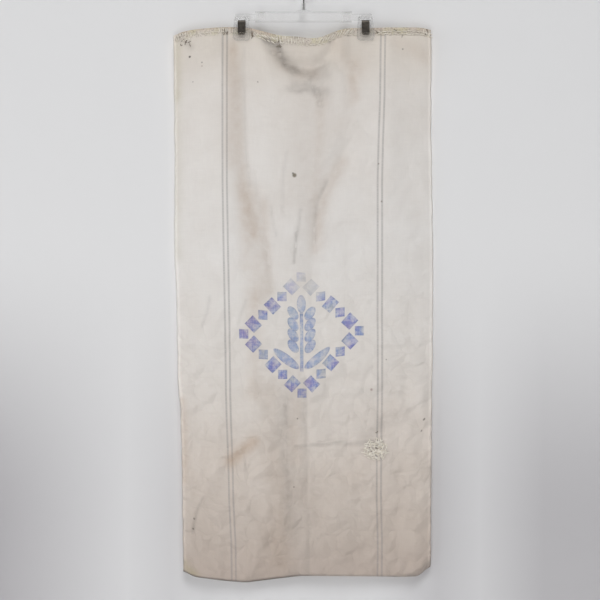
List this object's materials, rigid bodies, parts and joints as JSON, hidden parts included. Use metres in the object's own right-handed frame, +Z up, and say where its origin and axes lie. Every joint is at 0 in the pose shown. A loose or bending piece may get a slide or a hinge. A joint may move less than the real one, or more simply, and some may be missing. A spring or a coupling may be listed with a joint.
{
  "type": "feed sack on clip hanger",
  "caption": "Old empty cotton feed sack, a seamless tube with a hemmed mouth, hung by that mouth from a clear clip hanger with a wire hook.",
  "frame": {"origin": "the point of the wire hook that rests on a rail or nail, above the middle of the hanger", "axes": "+Z up along the hook's stem, +X to the viewer's right along the hanger bar, -Y towards the viewer, out of the sack's front"},
  "size_m": [0.5138, 0.0311, 1.2067],
  "materials": {
    "cotton": "heavy unbleached cotton, worn and washed",
    "clear_plastic": "clear moulded polystyrene, glossy",
    "wire": "bright plated steel wire",
    "spring_steel": "dark tempered spring steel"
  },
  "bodies": {
    "root": {"sack": "cotton", "hanger_bar": "clear_plastic", "hook": "wire", "clip_left_front": "clear_plastic", "clip_left_back": "clear_plastic", "clip_right_front": "clear_plastic", "clip_right_back": "clear_plastic", "spring_left": "spring_steel", "spring_right": "spring_steel"}
  },
  "joints": []
}
